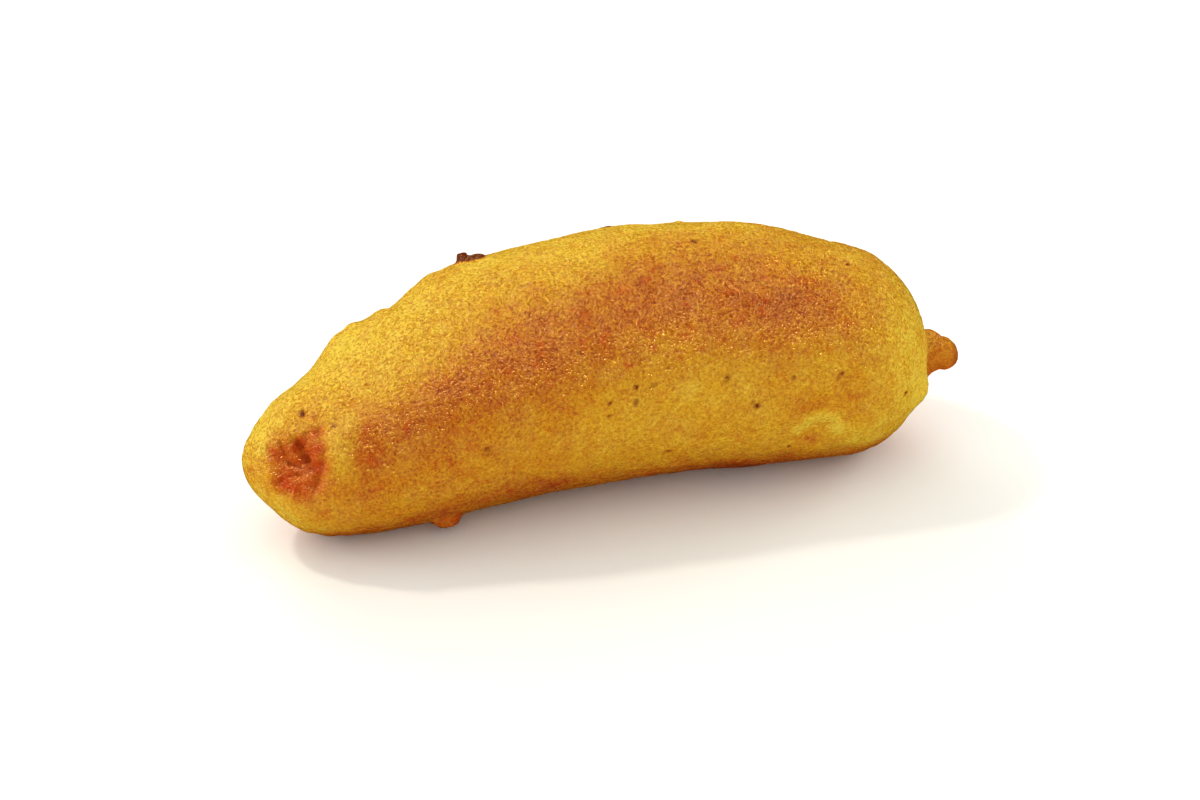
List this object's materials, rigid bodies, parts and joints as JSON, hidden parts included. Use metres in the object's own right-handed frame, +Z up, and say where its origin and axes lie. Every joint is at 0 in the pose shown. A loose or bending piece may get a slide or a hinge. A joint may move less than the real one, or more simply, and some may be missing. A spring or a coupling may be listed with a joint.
{
  "type": "chilli pakora",
  "caption": "Whole chilli in a thick golden fried batter coat, bent like a banana, with a puckered narrow nose and a batter tail at the blunt end.",
  "frame": {"origin": "on the table, below the middle of the bounding box", "axes": "+X along the length towards the blunt stem end with the batter tail, -Y on the inside of the bend, +Z up as it lies"},
  "size_m": [0.1372, 0.048, 0.0455],
  "materials": {
    "fried_batter": "deep-fried gram flour batter, golden yellow and patchily browned, pebbly with a thin oily sheen"
  },
  "bodies": {
    "root": {"pakora": "fried_batter"}
  },
  "joints": []
}
